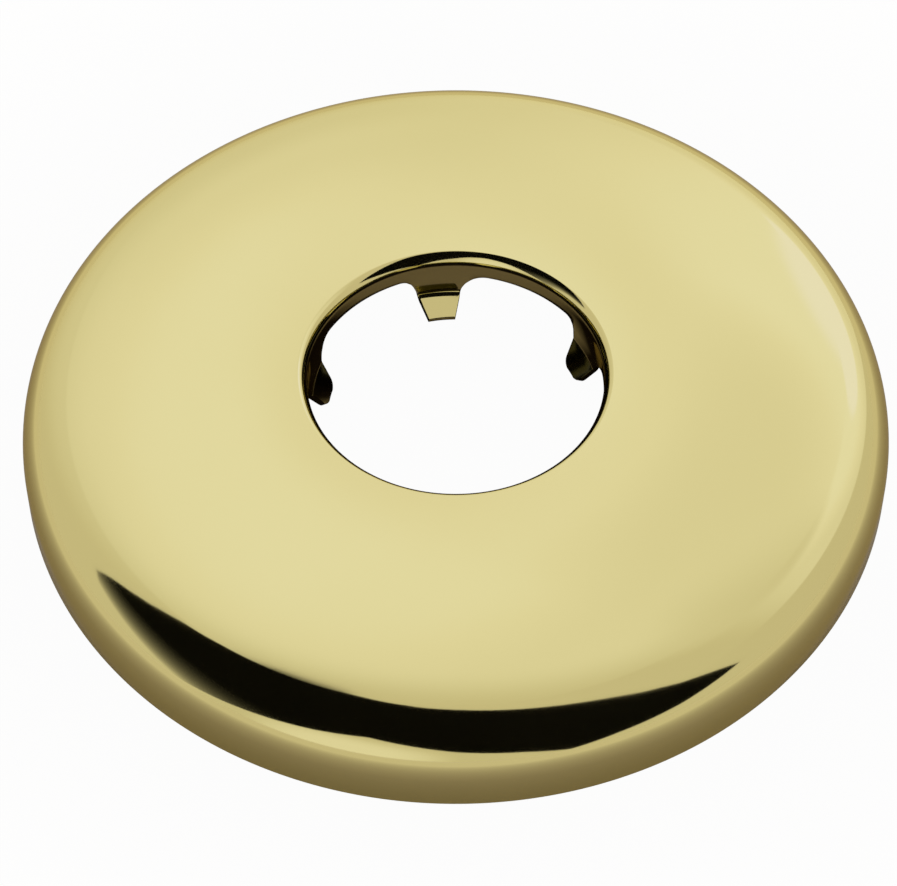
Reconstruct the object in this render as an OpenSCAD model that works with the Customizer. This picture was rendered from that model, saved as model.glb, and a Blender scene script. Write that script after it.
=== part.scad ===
// Shower arm flange: a round cover plate, drawn and stamped from one piece of sheet brass.
// It slides along the arm and hides the hole in the wall.
// The origin is the centre of the foot, in the plane of the wall, and +Z points out into the room.

/* [Flange] */
// Outside diameter at the wall
flange_d = 69.85; // [56:0.05:100]
// Height from the wall to the highest point, beside the hole
flange_h = 8.9; // [8.2:0.05:12]
// Height of the straight outer wall
wall_h = 2.4; // [0.5:0.05:3]
// Outer radius of the shoulder between wall and dome
shoulder_r = 5.1; // [3:0.05:5.5]
// Radius of the gentle dome between shoulder and hole
dome_r = 150; // [60:1:400]
// Thickness of the sheet
sheet_t = 0.5; // [0.3:0.05:0.7]

/* [Collar] */
// Outside diameter of the pipe that the flange is made for
pipe_d = 21.3; // [15:0.1:30]
// Gap between the pipe and the inside of the collar
pipe_gap = 1.45; // [0.8:0.05:2.5]
// Outer radius of the bend from the dome into the collar
mouth_r = 0.85; // [0.8:0.05:1.5]
// Height of the plain ring of the collar, from the bend down to the notches
collar_h = 1.6; // [0.8:0.05:2]

/* [Spring tabs] */
// Number of tabs round the collar
tab_count = 5; // [3:1:6]
// Height of a tab, from the bend at the mouth down to its crease
tab_h = 4.1; // [3.4:0.05:4.6]
// Lean of a tab towards the pipe, in degrees
tab_lean = 5; // [0:0.5:8]
// Width of a tab at its crease
crease_w = 3.4; // [2.6:0.05:4.5]
// Angle between the side of a tab and its middle line
tab_taper = 24; // [10:1:28]
// Radius of the fillet at a tab's left root, seen from the pipe
root_left_r = 0.9; // [0.4:0.05:1.8]
// Radius of the fillet at a tab's right root, seen from the pipe
root_right_r = 2.1; // [0.6:0.05:2.4]
// Radius of the inside of the crease
crease_r = 0.4; // [0.2:0.05:0.6]
// Slope of the tip below the horizontal, in degrees
tip_slope = 32; // [20:1:45]
// Radius of the tip's two corners
tip_corner_r = 0.25; // [0.1:0.05:0.4]
// How far the tips stand inside the surface of the pipe, which springs them open
grip = 0.2; // [0.05:0.05:0.5]

/* [Hidden] */
// Facets round the turned shapes
$fn = 96;
// Segments in the arcs of the section and of the tabs
SHOULDER_N = 24;
DOME_N = 16;
BEND_N = 12;
FILLET_N = 8;
// Length by which solids that are joined reach into each other
OVERLAP = 0.3;
// Height by which the fillets rise past the collar's edge, so that they cut it clean
FILLET_RISE = 0.005;
BRASS = "#ded598";

// Radii of the outside of the foot, the inside of the collar and the circle of the tips
foot_r = flange_d / 2;
collar_r = pipe_d / 2 + pipe_gap;
grip_r = pipe_d / 2 - grip;

// Centres of the three arcs of the section's outer face, as [radius, height]
shoulder_c = [foot_r - shoulder_r, wall_h];
mouth_c = [collar_r + mouth_r, flange_h - mouth_r];
dome_c = arc_centre(mouth_c, dome_r - mouth_r, shoulder_c, dome_r - shoulder_r);

// Directions in which the dome's arc meets its neighbours
shoulder_end = direction(shoulder_c - dome_c);
mouth_end = direction(mouth_c - dome_c);

// Heights of the top and bottom of the collar's plain ring
collar_top = mouth_c[1];
collar_foot = collar_top - collar_h;

// Directions down a tab and along its tip, and the normals of their inner faces
tab_dir = [-sin(tab_lean), -cos(tab_lean)];
tip_dir = [-cos(tip_slope), -sin(tip_slope)];
tab_normal = [-cos(tab_lean), sin(tab_lean)];
tip_normal = [-sin(tip_slope), cos(tip_slope)];

// Inner face of a tab: where the crease would be if it were sharp, and where its arc starts and ends
crease = [collar_r - (tab_h - collar_h) * tan(tab_lean), collar_top - tab_h];
crease_leg = crease_r * tan((90 - tip_slope - tab_lean) / 2);
crease_start = crease - crease_leg * tab_dir;
crease_end = crease + crease_leg * tip_dir;
crease_c = crease_start + crease_r * tab_normal;

// How far the parallel sides at the crease run on past its bend, each way
crease_run = crease_leg / 4;

// Length of the flat tip, from the crease's arc to the circle that grips the pipe
tip_l = (crease_end[0] - grip_r) / cos(tip_slope);

// Direction of a vector, in degrees
function direction(v) = atan2(v[1], v[0]);

// Point at a distance and a direction from a centre
function polar(c, r, a) = c + r * [cos(a), sin(a)];

// Points of an arc in n equal steps, without its last point, where the next stretch starts
function arc(c, r, from, to, n) = [for (i = [0:n - 1]) polar(c, r, from + (to - from) * i / n)];

// Centre of an arc that encloses two circles and touches both, given its distance from each
// of their centres
function arc_centre(a, ra, b, rb) =
    let (d = norm(b - a), u = (b - a) / d, along = (ra * ra - rb * rb + d * d) / (2 * d))
    a + along * u + sqrt(ra * ra - along * along) * [u[1], -u[0]];

// Points in the opposite order
function reversed(points) = [for (i = [len(points) - 1:-1:0]) points[i]];

// Line of the plate at a depth inside its outer face, from the foot over the dome and into the collar
function plate_line(depth) = concat(
    [[foot_r - depth, 0]],
    arc(shoulder_c, shoulder_r - depth, 0, shoulder_end, SHOULDER_N),
    arc(dome_c, dome_r - depth, shoulder_end, mouth_end, DOME_N),
    arc(mouth_c, mouth_r - depth, mouth_end, 180, BEND_N),
    [[collar_r + depth, collar_top], [collar_r + depth, collar_foot]]
);

// Line of a tab at a depth behind its inner face, from inside the collar down the wall, round
// the crease and along the tip. It runs on past the grip circle, where the tip's outline ends it.
function tab_line(depth) = concat(
    [[collar_r + depth, collar_foot + OVERLAP]],
    [[collar_r + depth, collar_foot - depth * tan(tab_lean / 2)]],
    arc(crease_c, crease_r + depth, -tab_lean, tip_slope - 90, BEND_N),
    [crease_end - depth * tip_normal, crease_end - depth * tip_normal + (tip_l + OVERLAP) * tip_dir]
);

// Points of a half outline turned over to the left
function mirrored(points) = [for (p = reversed(points)) [-p[0], p[1]]];

// Right half of a tab's wall: from the middle of the crease up its straight side, which opens into
// the fillet beside its root
function wall_side(root_r) =
    let (
        half = crease_w / 2,
        foot = crease_start[1] + crease_run,
        y = collar_foot + FILLET_RISE - root_r,
        x = half + (root_r + (y - foot) * sin(tab_taper)) / cos(tab_taper)
    )
    concat(
        [[half, crease_c[1]], [half, foot]],
        arc([x, y], root_r, 180 - tab_taper, 90, FILLET_N),
        [[x, y + root_r], [x, y + root_r + OVERLAP]]
    );

// Right half of a tip, seen square to its face: straight at the crease, then a taper to a
// rounded corner
function tip_side() =
    let (
        half = crease_w / 2,
        y = tip_l - tip_corner_r,
        x = half - (tip_corner_r + (y - crease_run) * sin(tab_taper)) / cos(tab_taper)
    )
    concat(
        [[half, -crease_r - sheet_t - OVERLAP], [half, crease_run]],
        arc([x, y], tip_corner_r, tab_taper, 90, FILLET_N),
        [[x, tip_l]]
    );

// Outline of a tab's wall, seen from the pipe
module wall_outline() {
    polygon(concat(wall_side(root_right_r), mirrored(wall_side(root_left_r))));
}

// Outline of a tip, seen square to its face
module tip_outline() {
    polygon(concat(tip_side(), mirrored(tip_side())));
}

// Foot, shoulder, dome, mouth and the plain ring of the collar
module plate() {
    rotate_extrude() polygon(concat(plate_line(0), reversed(plate_line(sheet_t))));
}

// The tabs: one turned section, cut by a prism square to each wall and by a prism square to each tip
module tabs() {
    reach = collar_r + sheet_t + OVERLAP;
    above = crease_r + OVERLAP;
    intersection() {
        rotate_extrude() polygon(concat(tab_line(0), reversed(tab_line(sheet_t))));
        for (i = [0:tab_count - 1]) rotate([0, 0, i * 360 / tab_count]) {
            translate([0, reach, 0]) rotate([90, 0, 0]) linear_extrude(reach) wall_outline();
            translate([0, crease_end[0], crease_end[1]]) rotate([180 + tip_slope, 0, 0])
                translate([0, 0, -above]) linear_extrude(above + sheet_t + OVERLAP) tip_outline();
        }
    }
}

module flange() {
    color(BRASS) {
        plate();
        tabs();
    }
}

flange();
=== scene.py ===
# %% [markdown]
# # A polished brass shower arm flange
#
# This flange is the round plate that hides the hole in a bathroom wall where the shower arm comes out. It is one
# piece of sheet brass: a press draws it into a shallow dish, punches the hole, turns the edge of the hole down
# into a collar, and leaves five small tabs there that grip the pipe.
#
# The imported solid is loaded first. It fixes the place and the size of everything that follows.

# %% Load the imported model
from math import asin, cos, pi, radians, sin, tan

import bmesh
import bpy
from mathutils import Matrix, Vector


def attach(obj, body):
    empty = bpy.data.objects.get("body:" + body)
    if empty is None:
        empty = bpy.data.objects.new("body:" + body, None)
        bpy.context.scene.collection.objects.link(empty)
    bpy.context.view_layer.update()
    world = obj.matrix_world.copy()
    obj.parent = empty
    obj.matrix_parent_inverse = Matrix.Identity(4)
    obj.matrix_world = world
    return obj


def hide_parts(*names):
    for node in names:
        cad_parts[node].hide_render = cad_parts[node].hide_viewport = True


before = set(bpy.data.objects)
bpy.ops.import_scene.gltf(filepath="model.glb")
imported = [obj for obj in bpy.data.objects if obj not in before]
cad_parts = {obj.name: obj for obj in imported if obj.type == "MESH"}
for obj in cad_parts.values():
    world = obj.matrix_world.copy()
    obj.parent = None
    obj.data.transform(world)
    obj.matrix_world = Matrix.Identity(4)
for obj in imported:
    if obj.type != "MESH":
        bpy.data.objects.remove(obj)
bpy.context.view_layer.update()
print("packed nodes:", sorted(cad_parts))

# %% [markdown]
# The camera comes before the modelling, so that each step can be looked at from the right place. A product
# photographer stands close with a long lens, looks down on the flange at about 52 degrees, and turns it a little
# so that a tab is almost at the back. The two small offsets put the flange where it is in the picture, so the
# lens needs no shift.

# %% Place the camera
CAMERA_DISTANCE = 0.264  # metres
CAMERA_HEIGHT = radians(51.994)
CAMERA_TURN = radians(-6.6)
CAMERA_ROLL = radians(-0.225)
LENS = 129.9  # millimetres, on a sensor 36 mm wide
OFFSET = Vector((-0.000586, -0.000459, 0))

turn = Matrix.Rotation(CAMERA_TURN, 4, "Z")
tilt = Matrix.Rotation(pi / 2 - CAMERA_HEIGHT, 4, "X")
roll = Matrix.Rotation(CAMERA_ROLL, 4, "Z")
back_off = Matrix.Translation(OFFSET + Vector((0, 0, CAMERA_DISTANCE)))

bpy.ops.object.camera_add()
camera = bpy.context.object
camera.name = "studio_camera"
camera.matrix_world = turn @ tilt @ roll @ back_off
camera.data.sensor_width = 36
camera.data.lens = LENS
camera.data.clip_start = 0.01
camera.data.clip_end = 50
bpy.context.scene.camera = camera
print("camera at", [round(v, 4) for v in camera.matrix_world.translation])

# %% [markdown]
# ## The section
#
# All sizes are in metres, and the foot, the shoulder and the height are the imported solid's. The section is a
# short wall, a round shoulder, a very flat dome, a bend into the hole, and the collar. Each arc touches the next
# one, so its centre follows from the radii.
#
# The photograph shows a black line at the back of the hole, a light one below it, and then the brown collar.
# That is a bend in four stages: tight at the top, rounder below it, then almost a cone, and then down into the
# collar. One arc would be simpler, but its reflections would be one even band.

# %% Wall, shoulder and dome
MM = 0.001
foot_r = 34.925 * MM
flange_h = 8.9 * MM
wall_h = 2.4 * MM
shoulder_r = 5.1 * MM
top_r = 17 * MM  # where the dome is highest
sheet = 0.5 * MM
shoulder_c = Vector((foot_r - shoulder_r, wall_h))
rise = flange_h - wall_h
dome_r = ((shoulder_c.x - top_r) ** 2 + rise ** 2 - shoulder_r ** 2) / (2 * (rise - shoulder_r))
dome_c = Vector((top_r, flange_h - dome_r))
shoulder_end = asin((shoulder_c.x - top_r) / (dome_r - shoulder_r))
print("the dome has a radius of", round(dome_r / MM, 1), "mm")

# %% The bend into the hole, and the collar
tight_r, round_r, cone_r, last_r = 0.35 * MM, 0.95 * MM, 2.5 * MM, 1.0 * MM
tight_c_r = 12.64 * MM  # how far the centre of the tight bend is from the axis
mouth_start = asin((tight_c_r - top_r) / (dome_r - tight_r))
round_start, cone_start, cone_end = radians(-28), radians(-54), radians(-63)
collar_foot = 6.45 * MM


def leaning(angle):
    """Direction in the section that leans outwards from the vertical."""
    return Vector((sin(angle), cos(angle)))


tight_c = dome_c + (dome_r - tight_r) * leaning(mouth_start)
round_c = tight_c - (round_r - tight_r) * leaning(round_start)
cone_c = round_c - (cone_r - round_r) * leaning(cone_start)
last_c = cone_c + (cone_r - last_r) * leaning(cone_end)
collar_r = last_c.x - last_r
print("the collar has a radius of", round(collar_r / MM, 2), "mm inside")

# %% [markdown]
# ## The sheet, unrolled
#
# The flange repeats five times round its axis, so only one fifth is modelled. A turned shape with tabs could be
# spun round the axis at once, but then a tab would have to be shaped on a curved wall. It is easier to unroll
# that fifth first: x runs along the rim, y is how far a point lies outside the collar, and z is its height. In
# this flat state every arc of the section is one spin about the x axis and a tab is a flat tongue. One bend of
# 72 degrees at the end rolls it up again, and since x was measured on the collar, the bend is exact.

# %% The wall: a strip of the rim at the foot
TABS = 5
COLUMNS = 72  # one degree each
WIDTH = 2 * pi * collar_r / TABS
column = WIDTH / COLUMNS

bpy.ops.object.select_all(action="DESELECT")
bpy.ops.mesh.primitive_grid_add(
    x_subdivisions=COLUMNS, y_subdivisions=1, size=1, rotation=(-pi / 2, 0, 0),
    location=(0, foot_r - collar_r, wall_h / 2),
)
flange = bpy.context.object
flange.name = "polished_flange"
flange.scale = (WIDTH, wall_h, 1)
bpy.ops.object.transform_apply(location=True, rotation=True, scale=True)
bpy.ops.object.mode_set(mode="EDIT")
bpy.context.tool_settings.mesh_select_mode = (True, False, False)
print("the strip is", [round(v / MM, 2) for v in flange.dimensions], "mm")

# %% Select points, and sweep or extrude them


def near(a, b):
    return abs(a - b) < 2e-6


def pick(test):
    """Selects the points that pass the test, with the edges and faces between them."""
    mesh = bmesh.from_edit_mesh(bpy.context.object.data)
    bpy.ops.mesh.select_all(action="DESELECT")
    for v in mesh.verts:
        v.select = test(v.co)
    mesh.select_flush_mode()
    bmesh.update_edit_mesh(bpy.context.object.data)
    return sum(v.select for v in mesh.verts)


def spin_edge(steps, angle, centre):
    """Sweeps the selected edges round the x axis about a centre given as [radius, height]."""
    middle = (0, centre.x - collar_r, centre.y)
    bpy.ops.mesh.spin(steps=steps, angle=-angle, center=middle, axis=(1, 0, 0))


def extrude_by(direction, length):
    step = (0, direction.x * length, direction.y * length)
    bpy.ops.mesh.extrude_edges_move(TRANSFORM_OT_translate={"value": step})


print("points on the upper edge:", pick(lambda p: near(p.z, wall_h)))

# %% [markdown]
# The arcs follow as sweeps of the strip's upper edge. A mirror finish shows every jump in curvature as a false
# line, because the light is smoothed over whole faces. So a few narrow faces come wherever a tight arc meets a
# flat one.

# %% Shoulder, dome, bend into the hole, and collar
EASE = radians(2.5)  # the angle that the narrow faces take
COLLAR_ROWS = 3
sweeps = [
    (3, EASE, shoulder_c),
    (30, pi / 2 - shoulder_end - 2 * EASE, shoulder_c),
    (4, EASE, shoulder_c),
    (28, shoulder_end - mouth_start, dome_c),
    (4, EASE, tight_c),
    (7, mouth_start - round_start - EASE, tight_c),
    (9, round_start - cone_start, round_c),
    (8, cone_start - cone_end, cone_c),
    (5, cone_end + pi / 2, last_c),
]
for faces, angle, centre in sweeps:
    spin_edge(faces, angle, centre)
for row in range(COLLAR_ROWS):
    extrude_by(Vector((0, -1)), (last_c.y - collar_foot) / COLLAR_ROWS)
edge = [v.co.copy() for v in bmesh.from_edit_mesh(flange.data).verts if v.select]
print(len(edge), "points at the foot of the collar, at", [round(v / MM, 3) for v in edge[0].yz], "mm")

# %% [markdown]
# ## One tab
#
# The press cuts the notches between the tabs before it turns the collar down. Beside each tab the notch ends in a
# fillet, small on the left and large on the right, so that the spring doesn't crack at its root. The tab could be
# cut out of a wider sheet, but cuts leave long thin faces that a mirror shows. So the lowest points of the collar
# are pulled down onto the two fillets, and the level stretch between them is then drawn out row by row, with each
# row as wide as the tab is there. Below the notches the tab leans in by six degrees.

# %% Sizes of a tab
tab_lean = radians(6)
crease_half = 1.84 * MM  # half the width above the crease
crease_depth = 1.5 * MM  # from the notches down to the crease
LEFT = (16, radians(20))  # columns from the middle line to the fillet's start, and the side's taper
RIGHT = (20, radians(17))
LEFT_IN, RIGHT_IN = 4, 7  # columns that each fillet takes before the level stretch


def root_x(columns):
    """Half width of the rolled sheet at a number of columns from the middle line."""
    return collar_r * sin(columns * column / collar_r)


def root_r(columns, taper):
    """Radius of the fillet that touches both the notch and the tapered side."""
    across = (root_x(columns) - crease_half) * cos(taper) - crease_depth * sin(taper)
    return across / (1 - sin(taper))


def fillet_depth(columns, taper, i):
    """How deep the fillet is at the column i from where it starts."""
    r = root_r(columns, taper)
    return r - (r * r - (root_x(columns) - root_x(columns - i)) ** 2) ** 0.5


level = fillet_depth(*RIGHT, RIGHT_IN)
print("root fillets:", [round(root_r(*side) / MM, 2) for side in (LEFT, RIGHT)], "mm; level at", round(level / MM, 2))

# %% Pull the collar down onto the fillets


def pull_down(columns, depth):
    """Moves the collar's lowest point in each named column down the leaning tab."""
    pick(lambda p: near(p.z, collar_foot) and any(near(p.x, n * column) for n in columns))
    bpy.ops.transform.translate(value=(0, -depth * tan(tab_lean), -depth))


for i in range(1, LEFT_IN):
    pull_down([i - LEFT[0]], fillet_depth(*LEFT, i))
for i in range(1, RIGHT_IN):
    pull_down([RIGHT[0] - i], fillet_depth(*RIGHT, i))
pull_down(range(LEFT_IN - LEFT[0], RIGHT[0] - RIGHT_IN + 1), level)
print("points at the notches:", pick(lambda p: near(p.z, collar_foot)))

# %% Give a row of points its width


def half_width(depth, columns, taper):
    """From a tab's middle line to its side, at a depth below the notches."""
    r = root_r(columns, taper)
    if depth < r * (1 - sin(taper)):
        return root_x(columns) - (r * r - (r - depth) ** 2) ** 0.5
    return crease_half + (crease_depth - depth) * tan(taper)


def unrolled(half, y):
    """Length along the flat sheet that becomes a half width once the sheet is rolled up."""
    return collar_r * asin(half / (collar_r + y))


def set_row(left, right, at):
    """Makes the row of points at [y, z] reach from -left to right, given as half widths of the rolled sheet."""
    for side, half in ((-1, left), (1, right)):
        pick(lambda p: near(p.y, at.x) and near(p.z, at.y) and p.x * side > 1e-7)
        reach = max(abs(v.co.x) for v in bmesh.from_edit_mesh(bpy.context.object.data).verts if v.select)
        bpy.ops.transform.resize(value=(unrolled(half, at.x) / reach, 1, 1), center_override=(0, 0, 0))
    return pick(lambda p: near(p.y, at.x) and near(p.z, at.y))


at = Vector((-level * tan(tab_lean), collar_foot - level))
print(set_row(half_width(level, *LEFT), half_width(level, *RIGHT), at), "points across the tab")

# %% The wall of the tab
for depth in (0.8 * MM, 0.98 * MM, 1.16 * MM, 1.34 * MM, crease_depth):
    new = Vector((-depth * tan(tab_lean), collar_foot - depth))
    extrude_by(new - at, 1)
    at = new
    set_row(half_width(depth, *LEFT), half_width(depth, *RIGHT), at)
bpy.ops.object.mode_set(mode="OBJECT")
print("above the crease the tab is", round(2 * crease_half / MM, 2), "mm wide")

# %% [markdown]
# At the crease the tip bends in to meet the pipe. This is one more sweep, the other way round, in small steps so
# that the taper goes on through it. The tip is then flat, and where its corners are rounded, as the punch leaves
# them, a few more rows follow the rounding.
#
# A press doesn't bend five small tabs quite alike. In the photograph the tab at the back ends in a tip that is
# almost level and catches the light, and those at the sides hang steeply and are dark. The two in front are
# hidden, and are taken to be like those at the sides. So the fifth is finished in two ways.

# %% The crease and the tip
TIP_TAPER = radians(16.5)
CREASE_STEPS = 6
LAST_STRIP = 0.09 * MM  # a narrow face before the end, or the bevel there would pull at a long one
CORNER_ROWS = [radians(a) for a in (29, 41, 53, 65, 77, 90)]  # where the rows cross the corner's arc


def tip_half(along, length, corner_r):
    """From a tab's middle line to its side, at a distance along the sheet from where the crease starts."""
    arc_at = length - corner_r
    if along < arc_at + corner_r * sin(TIP_TAPER):
        return crease_half - along * tan(TIP_TAPER)
    middle = crease_half - arc_at * tan(TIP_TAPER) - corner_r / cos(TIP_TAPER)
    return middle + max(0, corner_r ** 2 - (along - arc_at) ** 2) ** 0.5


def finish_tip(more_lean, bend_r, slope, end_r, corner_r):
    """Leans the tab further from its root, then bends its tip to a slope and lets it end at a radius."""
    lean = tab_lean + more_lean
    bpy.ops.object.mode_set(mode="EDIT")
    pick(lambda p: p.z < collar_foot - 2e-6 and p.y < 1 * MM)  # below the notches, and not out at the rim
    bpy.ops.transform.rotate(value=more_lean, orient_axis="X", center_override=(0, 0, collar_foot))
    wall = crease_depth / cos(tab_lean)
    at = Vector((-sin(lean) * wall, collar_foot - cos(lean) * wall))
    print("points above the crease:", pick(lambda p: near(p.y, at.x) and near(p.z, at.y)))

    turn = pi / 2 - slope - lean
    centre = at + Vector((-cos(lean), sin(lean))) * bend_r
    tip_dir = Vector((-cos(slope), -sin(slope)))
    bend_end = centre + bend_r * Vector((cos(lean + turn), -sin(lean + turn)))
    tip_l = (collar_r + bend_end.x - end_r) / cos(slope)
    length = bend_r * turn + tip_l

    def shape_row(along):
        half = tip_half(along, length, corner_r)
        return set_row(half, half, at)

    for step in range(1, CREASE_STEPS + 1):
        bpy.ops.mesh.spin(steps=1, angle=turn / CREASE_STEPS, center=(0, centre.x, centre.y), axis=(1, 0, 0))
        angle = lean + step * turn / CREASE_STEPS
        at = centre + bend_r * Vector((cos(angle), -sin(angle)))
        shape_row(bend_r * step * turn / CREASE_STEPS)
    flat = tip_l - corner_r * (1 - sin(TIP_TAPER))
    rows = [flat / 3, flat * 2 / 3, flat - LAST_STRIP, flat]
    if corner_r:
        rows += [tip_l - corner_r * (1 - sin(a)) for a in CORNER_ROWS]
    done = 0
    for along in rows:
        extrude_by(tip_dir, along - done)
        at = at + tip_dir * (along - done)
        done = along
        count = shape_row(length - tip_l + along)
    print("the tip is", round(tip_l / MM, 2), "mm long, with", count, "points at its end")
    bpy.ops.object.mode_set(mode="OBJECT")


# %% Finish the fifth in two ways
bpy.ops.object.duplicate()
steep = bpy.context.object
steep.name = "steep_fifth"
finish_tip(more_lean=radians(5), bend_r=0.4 * MM, slope=radians(57), end_r=10.3 * MM, corner_r=1.0 * MM)
bpy.context.view_layer.objects.active = flange
finish_tip(more_lean=0, bend_r=0.53 * MM, slope=radians(18), end_r=9.5 * MM, corner_r=0)
print("one fifth has", len(flange.data.polygons), "faces")

# %% [markdown]
# ## Rolling it up
#
# Simple Deform bends each strip by 72 degrees and turns x into an angle. The fifths are then copied round the axis
# and the seams are merged. The sheet gets its thickness last, towards the hollow side, so that the visible face
# keeps its exact place. The rim of the foot, the notches and the tips then show the cut edge of the sheet.

# %% Bend both fifths
for fifth in (steep, flange):
    bpy.context.view_layer.objects.active = fifth
    bpy.ops.object.modifier_add(type="SIMPLE_DEFORM")
    bend = fifth.modifiers[-1]
    bend.deform_method = "BEND"
    bend.deform_axis = "Z"
    bend.angle = -2 * pi / TABS
    bpy.ops.object.modifier_apply(modifier=bend.name)
    fifth.location = (0, collar_r, 0)
bpy.ops.object.select_all(action="DESELECT")
steep.select_set(True)
flange.select_set(True)
bpy.ops.object.transform_apply(location=True, rotation=True, scale=True)
print("rolled up, a fifth is", [round(v / MM, 2) for v in flange.dimensions], "mm")

# %% Copy the steep fifth round the axis


def rotate_fifths(places):
    bpy.ops.transform.rotate(value=places * 2 * pi / TABS, orient_axis="Z", center_override=(0, 0, 0))


bpy.ops.object.select_all(action="DESELECT")
bpy.context.view_layer.objects.active = steep
bpy.ops.object.mode_set(mode="EDIT")
bpy.ops.mesh.select_all(action="SELECT")
rotate_fifths(1)
for copy in range(TABS - 2):
    bpy.ops.mesh.duplicate()
    rotate_fifths(1)
bpy.ops.object.mode_set(mode="OBJECT")
print("the steep fifths have", len(steep.data.polygons), "faces")

# %% Join the fifths
steep.select_set(True)
flange.select_set(True)
bpy.context.view_layer.objects.active = flange
bpy.ops.object.join()
bpy.ops.object.mode_set(mode="EDIT")
bpy.ops.mesh.select_all(action="SELECT")
bpy.ops.mesh.remove_doubles(threshold=1e-6)
bpy.ops.mesh.normals_make_consistent(inside=False)
mesh = bmesh.from_edit_mesh(flange.data)
top = max(mesh.faces, key=lambda f: f.calc_center_median().z)
upright = top.normal.z > 0
if not upright:
    bpy.ops.mesh.flip_normals()
bpy.ops.object.mode_set(mode="OBJECT")
print("the shell has", len(flange.data.polygons), "faces and faced up by itself:", upright)

# %% Thickness of the sheet
bpy.ops.object.modifier_add(type="SOLIDIFY")
wall = flange.modifiers[-1]
wall.thickness = sheet
wall.offset = -1
wall.use_even_offset = True
wall.material_offset = 1
wall.material_offset_rim = 1
bpy.ops.object.modifier_apply(modifier=wall.name)
print("with its thickness the flange is", [round(v / MM, 2) for v in flange.dimensions], "mm")

# %% Break the cut edges
BREAK = 0.04 * MM

bpy.ops.object.mode_set(mode="EDIT")
bpy.ops.mesh.select_all(action="DESELECT")
bpy.context.tool_settings.mesh_select_mode = (False, True, False)
bpy.ops.mesh.edges_select_sharp(sharpness=radians(60))
bpy.ops.mesh.bevel(offset=BREAK, segments=2, affect="EDGES")
bpy.ops.object.mode_set(mode="OBJECT")
bpy.ops.object.shade_smooth_by_angle(angle=radians(35))
flange.data.calc_loop_triangles()
print("the flange has", len(flange.data.loop_triangles), "triangles")

# %% [markdown]
# ## Brass
#
# The flange is polished brass under a thin clear lacquer. Brass is a metal, so it has no colour of its own apart
# from the tint that it gives to what it mirrors. Plain metal with one tint and one roughness would do for a toy.
# Here a soft cloud moves both a little, as rolled sheet and hand polishing do.

# %% Colours and nodes


def srgb(code):
    """Turns a colour like #DED598 into linear values."""
    values = [int(code[i:i + 2], 16) / 255 for i in (1, 3, 5)]
    return tuple(v / 12.92 if v <= 0.04045 else ((v + 0.055) / 1.055) ** 2.4 for v in values) + (1,)


def add(tree, kind, settings=None, **links):
    """Adds a node, sets its properties and inputs, and links the inputs that are given as sockets."""
    node = tree.nodes.new(kind)
    for name, value in (settings or {}).items():
        if name in node.inputs:
            node.inputs[name].default_value = value
        else:
            setattr(node, name, value)
    for name, socket in links.items():
        key = int(name[1:]) if name[0] == "_" else name.replace("_", " ")
        tree.links.new(socket, node.inputs[key])
    return node


def new_material(name):
    material = bpy.data.materials.new(name)
    material.use_nodes = True
    material.node_tree.nodes.clear()
    return material, material.node_tree


print("polished brass in linear values:", [round(v, 3) for v in srgb("#DED598")[:3]])

# %% A brass that drifts a little


def brass(name, cloud_scale, detail, tints, roughness, grazing_tint):
    """A metal whose tint and roughness drift between two values each."""
    material, tree = new_material(name)
    where = add(tree, "ShaderNodeTexCoord")
    cloud = add(tree, "ShaderNodeTexNoise", {"Scale": cloud_scale, "Detail": detail}, Vector=where.outputs["Object"])
    tint = add(tree, "ShaderNodeMix", {"data_type": "RGBA"}, Factor=cloud.outputs["Fac"])
    tint.inputs["A"].default_value = srgb(tints[0])
    tint.inputs["B"].default_value = srgb(tints[1])
    rough = add(tree, "ShaderNodeMapRange", {"To Min": roughness[0], "To Max": roughness[1]},
                Value=cloud.outputs["Fac"])
    skin = add(tree, "ShaderNodeBsdfPrincipled", {"Metallic": 1, "Specular Tint": grazing_tint},
               Base_Color=tint.outputs["Result"], Roughness=rough.outputs["Result"])
    add(tree, "ShaderNodeOutputMaterial", Surface=skin.outputs["BSDF"])
    flange.data.materials.append(material)
    print("the flange now has the finishes", [m.name for m in flange.data.materials])


# %% Polished brass
# To the eye it is a mirror with a pale gold tint. The little roughness softens the edge of the black band as the
# lacquer does, and the golden tint at a grazing view keeps the far rim from turning white.
brass("polished_lacquered_brass", cloud_scale=90, detail=3, tints=("#DDD395", "#DFD599"), roughness=(0.05, 0.09),
      grazing_tint=(0.95, 0.87, 0.62, 1))

# %% Drawn brass
# The hollow side and the cut edges are as the press left them. They scatter the light, so they look matt and
# darker, and the edge of the sheet stands out against the mirror.
brass("drawn_brass_underside", cloud_scale=200, detail=4, tints=("#C9B878", "#D8C98A"), roughness=(0.28, 0.4),
      grazing_tint=(1, 1, 1, 1))

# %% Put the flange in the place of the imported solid
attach(flange, "root")
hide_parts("flange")
print("the flange rides on root and stands for the node flange")

# %% [markdown]
# ## The studio
#
# A polished thing is a picture of the room round it, so the room is most of the work. The flange stands in a white
# tent that is brightest high behind it. Softboxes would be the usual way, but each would show in the metal as a
# rectangle. A tent is seamless, so its brightness here depends on the direction alone: one soft patch is laid
# over another in the world's nodes.

# %% Directions in the tent
world = bpy.data.worlds.new("tent")
bpy.context.scene.world = world
world.use_nodes = True
tree = world.node_tree
tree.nodes.clear()
where = add(tree, "ShaderNodeTexCoord")


def toward(azimuth, elevation):
    """Direction in the room: azimuth 0 is straight away from the camera, positive to the right."""
    a, e = radians(azimuth) - CAMERA_TURN, radians(elevation)
    return Vector((sin(a) * cos(e), cos(a) * cos(e), sin(e)))


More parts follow.
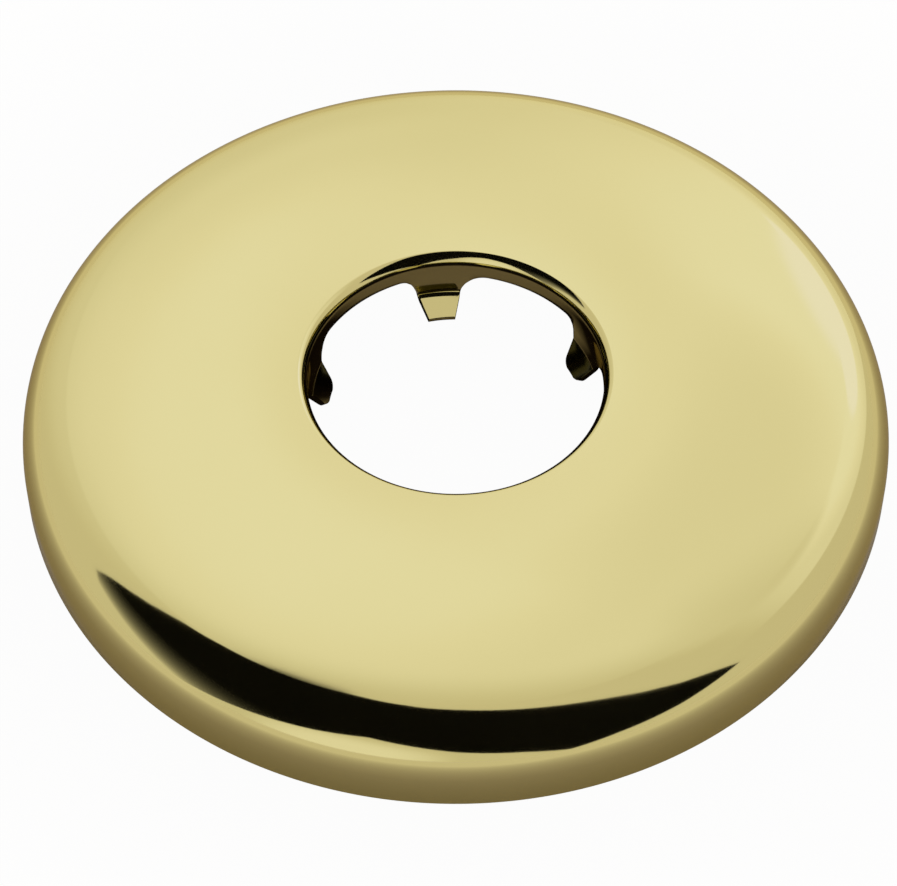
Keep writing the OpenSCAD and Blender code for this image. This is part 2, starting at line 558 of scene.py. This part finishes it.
def part(azimuth, elevation, start, end):
    """From 0 to 1 over the room, as the cosine of the angle to a direction goes from start to end."""
    turned = add(tree, "ShaderNodeVectorMath", {"operation": "DOT_PRODUCT"}, _0=where.outputs["Generated"])
    turned.inputs[1].default_value = toward(azimuth, elevation)
    return add(tree, "ShaderNodeMapRange", {"interpolation_type": "SMOOTHSTEP", "From Min": start, "From Max": end},
               Value=turned.outputs["Value"]).outputs["Result"]


print("away from the camera is", [round(v, 3) for v in toward(0, 0)])

# %% Patches of light


def paint(below, above, cover):
    """Lays one brightness over another where the cover is 1. Each is a number or a socket."""
    layer = add(tree, "ShaderNodeMix", {"data_type": "FLOAT"}, Factor=cover)
    for name, value in (("A", below), ("B", above)):
        if isinstance(value, float):
            layer.inputs[name].default_value = value
        else:
            tree.links.new(value, layer.inputs[name])
    return layer.outputs["Result"]


def patch(below, brightness, azimuth, elevation, outer, inner):
    """A round patch that starts at the outer angle from its direction and is full inside the inner one."""
    cover = part(azimuth, elevation, cos(radians(outer)), cos(radians(inner)))
    return paint(below, brightness, cover)


CLOTH = 0.76  # the tent's brightness away from every patch
BRIGHT_SIDE = (-49, 50)  # azimuth and elevation of the middle of the half with the patches
DULL_HALF = 0.75  # brightness of the other half, low on the right and towards the camera
PATCHES = [
    # brightness, azimuth, elevation, outer and inner angle
    (0.87, -14, 33, 49, 0),  # wide glow behind the flange
    (0.956, 2, 52, 30, 24),  # high behind it, with a fairly clear edge
    (1.027, -14, 61, 18, 0),
    (1.035, -9, 51, 20, 0),
    (0.93, 46, 15, 57, 37),  # low on the right, for the right side of the dome
    (1.038, 36, 36, 31, 13),
    (1.086, 36, 27, 13, 11),  # a small lamp, for the bright arc on the right shoulder
    (0.84, 57, 59, 14, 0),  # two duller folds of the cloth
    (0.933, 27, 54, 14, 0),
]
light = CLOTH
for values in PATCHES:
    light = patch(light, *values)
light = paint(DULL_HALF, light, part(*BRIGHT_SIDE, -0.01, 0.005))
light = patch(light, 0.98, -157, 4, 25, 6)  # low beside the camera, for the pale arc on the front shoulder
print("the tent has", len(PATCHES) + 1, "patches of light")

# %% [markdown]
# White cloth isn't equally white where it is dim: it turns warmer in the shade and cooler in the brightest
# patches. A ramp from brightness to colour gives that. The camera doesn't see the tent, because the photograph's
# background is plain white.

# %% Colour of the tent
RAMP_END = 1.2  # the brightness at the ramp's right end, since a ramp's places go from 0 to 1
STOPS = [
    # brightness, colour
    (0.0, (0.0, 0.0, 0.0)),
    (0.25, (0.25, 0.218, 0.19)),
    (0.44, (0.44, 0.395, 0.325)),
    (0.64, (0.64, 0.59, 0.515)),
    (0.78, (0.78, 0.745, 0.665)),
    (0.89, (0.89, 0.87, 0.835)),
    (1.0, (1.0, 0.985, 1.0)),
    (1.04, (1.04, 1.045, 1.12)),
    (1.11, (1.11, 1.125, 1.6)),
]
place = add(tree, "ShaderNodeMath", {"operation": "DIVIDE"}, _0=light)
place.inputs[1].default_value = RAMP_END
cloth = add(tree, "ShaderNodeValToRGB", Fac=place.outputs["Value"])
ramp = cloth.color_ramp
while len(ramp.elements) < len(STOPS):
    ramp.elements.new(0.5)
for element, (brightness, colour) in zip(ramp.elements, STOPS):
    element.position = brightness / RAMP_END
    element.color = colour + (1,)

path = add(tree, "ShaderNodeLightPath")
seen = add(tree, "ShaderNodeMix", {"data_type": "RGBA"}, Factor=path.outputs["Is Camera Ray"], A=cloth.outputs["Color"])
seen.inputs["B"].default_value = (1, 1, 1, 1)
glow = add(tree, "ShaderNodeBackground", {"Strength": 1}, Color=seen.outputs["Result"])
add(tree, "ShaderNodeOutputWorld", Surface=glow.outputs["Background"])
print("the ramp has", len(ramp.elements), "colours")

# %% [markdown]
# ## The black card
#
# A black band runs along the front shoulder. It gives the bright metal its edge, and it is the mirror image of
# something black above the camera. A dark patch in the tent could make it, but the band's edges are crisp, so it
# is a card with a cut outline. The outline was found by following the band's edge from the camera to the metal
# and back out into the room. The card is one flat face, so its corners are given directly. Its cloth thins out
# towards the left, where the band fades.

# %% Cut the black card
CARD_DISTANCE = 1.5  # metres from the flange
card_facing = toward(180, 45)
card_right = toward(90, 0)
card_up = card_facing.cross(card_right)
CARD_OUTLINE = [
    # the side that the dome mirrors, from left to right
    (-1.52, 1.33), (-1.17, 1.39), (-0.85, 1.58), (-0.62, 1.64), (-0.42, 1.52),
    (-0.24, 1.38), (-0.17, 1.21), (-0.08, 1.02), (0.01, 0.96), (0.15, 0.81), (0.26, 0.70), (0.39, 0.57),
    (0.58, 0.38), (0.85, 0.20), (1.32, 0.0), (1.80, -0.21),
    # the side that the shoulder mirrors, from right to left
    (1.30, -0.59), (0.87, -0.77), (0.61, -0.98), (0.30, -0.69), (0, -0.52), (-0.17, -0.37), (-0.32, -0.24),
    (-0.58, -0.36), (-0.92, -0.48), (-1.44, -0.65), (-2.28, -0.89), (-3.7, -1.18), (-4.8, -1.4),
    # the end that fades
    (-5.2, 0.5), (-3.3, 1.36),
]
mesh = bpy.data.meshes.new("black_card")
corners = [(card_facing + card_right * u + card_up * v) * CARD_DISTANCE for u, v in CARD_OUTLINE]
mesh.from_pydata(corners, [], [list(range(len(corners)))])
card = bpy.data.objects.new("black_card", mesh)
bpy.context.collection.objects.link(card)
print("the card has", len(corners), "corners, and its upper side points", [round(v, 2) for v in card_up])

# %% Black cloth
# The cloth returns almost no light. Its holes grow from the middle to the left end, and the square keeps the fade
# even to the eye, which sees a half of the light as three quarters.
FADE = (card_right * 0.8 + card_up * 0.6) / CARD_DISTANCE  # the direction away from the end that fades
FADE_START, FADE_END = -0.7, -2.75  # places along it, in the units of the outline

black, tree = new_material("black_cloth")
where = add(tree, "ShaderNodeTexCoord")
along = add(tree, "ShaderNodeVectorMath", {"operation": "DOT_PRODUCT"}, _0=where.outputs["Object"])
along.inputs[1].default_value = FADE
holes = add(tree, "ShaderNodeMapRange", {"From Min": FADE_END, "From Max": FADE_START, "To Min": 1, "To Max": 0},
            Value=along.outputs["Value"])
share = add(tree, "ShaderNodeMath", {"operation": "POWER"}, _0=holes.outputs["Result"])
share.inputs[1].default_value = 2
dark = add(tree, "ShaderNodeBsdfDiffuse", {"Color": (0.003, 0.003, 0.003, 1)})
clear = add(tree, "ShaderNodeBsdfTransparent")
blend = add(tree, "ShaderNodeMixShader", _0=share.outputs["Value"], _1=dark.outputs["BSDF"], _2=clear.outputs["BSDF"])
add(tree, "ShaderNodeOutputMaterial", Surface=blend.outputs["Shader"])
card.data.materials.append(black)
print("the card is covered with", card.data.materials[0].name)

# %% [markdown]
# ## The card of painted shade
#
# The collar and the tabs mirror what lies below them, and in the photograph that is brown to black: the dark inside
# of the dish. A shadow alone stays too light over white paper. So a round card with painted shade lies in the foot
# of the flange, and it has a paler painted light spot where the back tab's crease looks down on it.

# %% Lay the brown card
CARD_R = 31 * MM
CARD_LIFT = 0.05 * MM  # above the floor, so that the two faces don't coincide

bpy.ops.object.select_all(action="DESELECT")
bpy.ops.mesh.primitive_circle_add(vertices=96, radius=CARD_R, fill_type="NGON", location=(0, 0, CARD_LIFT))
painted_shade_pad = bpy.context.object
painted_shade_pad.name = "painted_shade_card"
print("the brown card is", [round(v / MM, 1) for v in painted_shade_pad.dimensions], "mm")

# %% Painted shade with a painted light spot
# Matt and nearly black as painted shade, with a warm brown painted light spot that the tab's crease mirrors from below.
PAINTED_LIGHT_SPOT = toward(0, 0) * 6.5 * MM  # the middle of the paler spot
PAINTED_LIGHT_R, PAINTED_LIGHT_EDGE = 2.2 * MM, 4.8 * MM

brown, tree = new_material("painted_shade_and_light")
where = add(tree, "ShaderNodeTexCoord")
away = add(tree, "ShaderNodeVectorMath", {"operation": "DISTANCE"}, _0=where.outputs["Object"])
away.inputs[1].default_value = PAINTED_LIGHT_SPOT
beside = add(tree, "ShaderNodeMapRange", {"From Min": PAINTED_LIGHT_R, "From Max": PAINTED_LIGHT_EDGE}, Value=away.outputs["Value"])
# The painted light spot is warm brown, and the painted shade round it is nearly black.
tint = add(tree, "ShaderNodeMix", {"data_type": "RGBA"}, Factor=beside.outputs["Result"])
tint.inputs["A"].default_value = (0.27, 0.225, 0.19, 1)
tint.inputs["B"].default_value = (0.015, 0.01, 0.008, 1)
matt = add(tree, "ShaderNodeBsdfDiffuse", Color=tint.outputs["Result"])
add(tree, "ShaderNodeOutputMaterial", Surface=matt.outputs["BSDF"])
painted_shade_pad.data.materials.append(brown)
print("the brown card is covered with", painted_shade_pad.data.materials[0].name)

# %% Let only the metal see both cards
for piece in (card, painted_shade_pad):
    piece.visible_camera = False
    piece.visible_diffuse = False
    piece.visible_shadow = False
print("hidden from the camera:", [piece.name for piece in (card, painted_shade_pad)])

# %% [markdown]
# ## The floor
#
# The flange lies on white paper. In the photograph the paper is pure white up to the rim, yet the wall of the
# flange mirrors it as a dull brown. Both come from one material: the camera sees the paper almost at full white
# with a little of its shadow left, and the metal sees it darker close to the flange, where a shadow is painted
# into the paper's colour.

# %% Lay the floor
FLOOR_SIZE = 6  # metres
bpy.ops.mesh.primitive_plane_add(size=FLOOR_SIZE, location=(0, 0, 0))
floor = bpy.context.object
floor.name = "white_floor"
print("the floor is", [round(v, 1) for v in floor.dimensions], "m")

# %% White paper
# To the eye it is bare white with a faint shadow, partly real and partly painted, and in the metal it shows a painted
# shadow, a dull brown next to the rim.
PAINTED_SHADOW_R, PAINTED_SHADOW_END_R = 38 * MM, 62 * MM  # the paper is shaded up to the first radius and clear from the second
WHITE_SHARE = 0.97  # how much of the paper is plain white to the camera
MIRRORED_SHARE = 0.05  # and in reflections

paper, tree = new_material("white_paper")
where = add(tree, "ShaderNodeTexCoord")
away = add(tree, "ShaderNodeVectorMath", {"operation": "LENGTH"}, _0=where.outputs["Object"])
beside = add(tree, "ShaderNodeMapRange", {"From Min": PAINTED_SHADOW_R, "From Max": PAINTED_SHADOW_END_R}, Value=away.outputs["Value"])
# The painted shadow: the paper's colour goes from this brown next to the rim to white further out.
tint = add(tree, "ShaderNodeMix", {"data_type": "RGBA"}, Factor=beside.outputs["Result"])
tint.inputs["A"].default_value = (0.38, 0.33, 0.29, 1)
tint.inputs["B"].default_value = (0.9, 0.87, 0.8, 1)
matt = add(tree, "ShaderNodeBsdfDiffuse", Color=tint.outputs["Result"])
pale = add(tree, "ShaderNodeEmission", {"Strength": 1})

path = add(tree, "ShaderNodeLightPath")
seen = add(tree, "ShaderNodeMath", {"operation": "MULTIPLY"}, _0=path.outputs["Is Camera Ray"])
seen.inputs[1].default_value = WHITE_SHARE
mirrored = add(tree, "ShaderNodeMath", {"operation": "MAXIMUM"},
               _0=path.outputs["Is Glossy Ray"], _1=path.outputs["Is Transmission Ray"])
share = add(tree, "ShaderNodeMath", {"operation": "MULTIPLY_ADD"},
            _0=mirrored.outputs["Value"], _2=seen.outputs["Value"])
share.inputs[1].default_value = MIRRORED_SHARE
blend = add(tree, "ShaderNodeMixShader",
            _0=share.outputs["Value"], _1=matt.outputs["BSDF"], _2=pale.outputs["Emission"])
add(tree, "ShaderNodeOutputMaterial", Surface=blend.outputs["Shader"])
floor.data.materials.append(paper)
print("the floor is covered with", floor.data.materials[0].name)

# %% [markdown]
# The picture is shown with the Standard view, in which a colour comes out as it is written.

# %% Set the view
bpy.context.scene.view_settings.view_transform = "Standard"
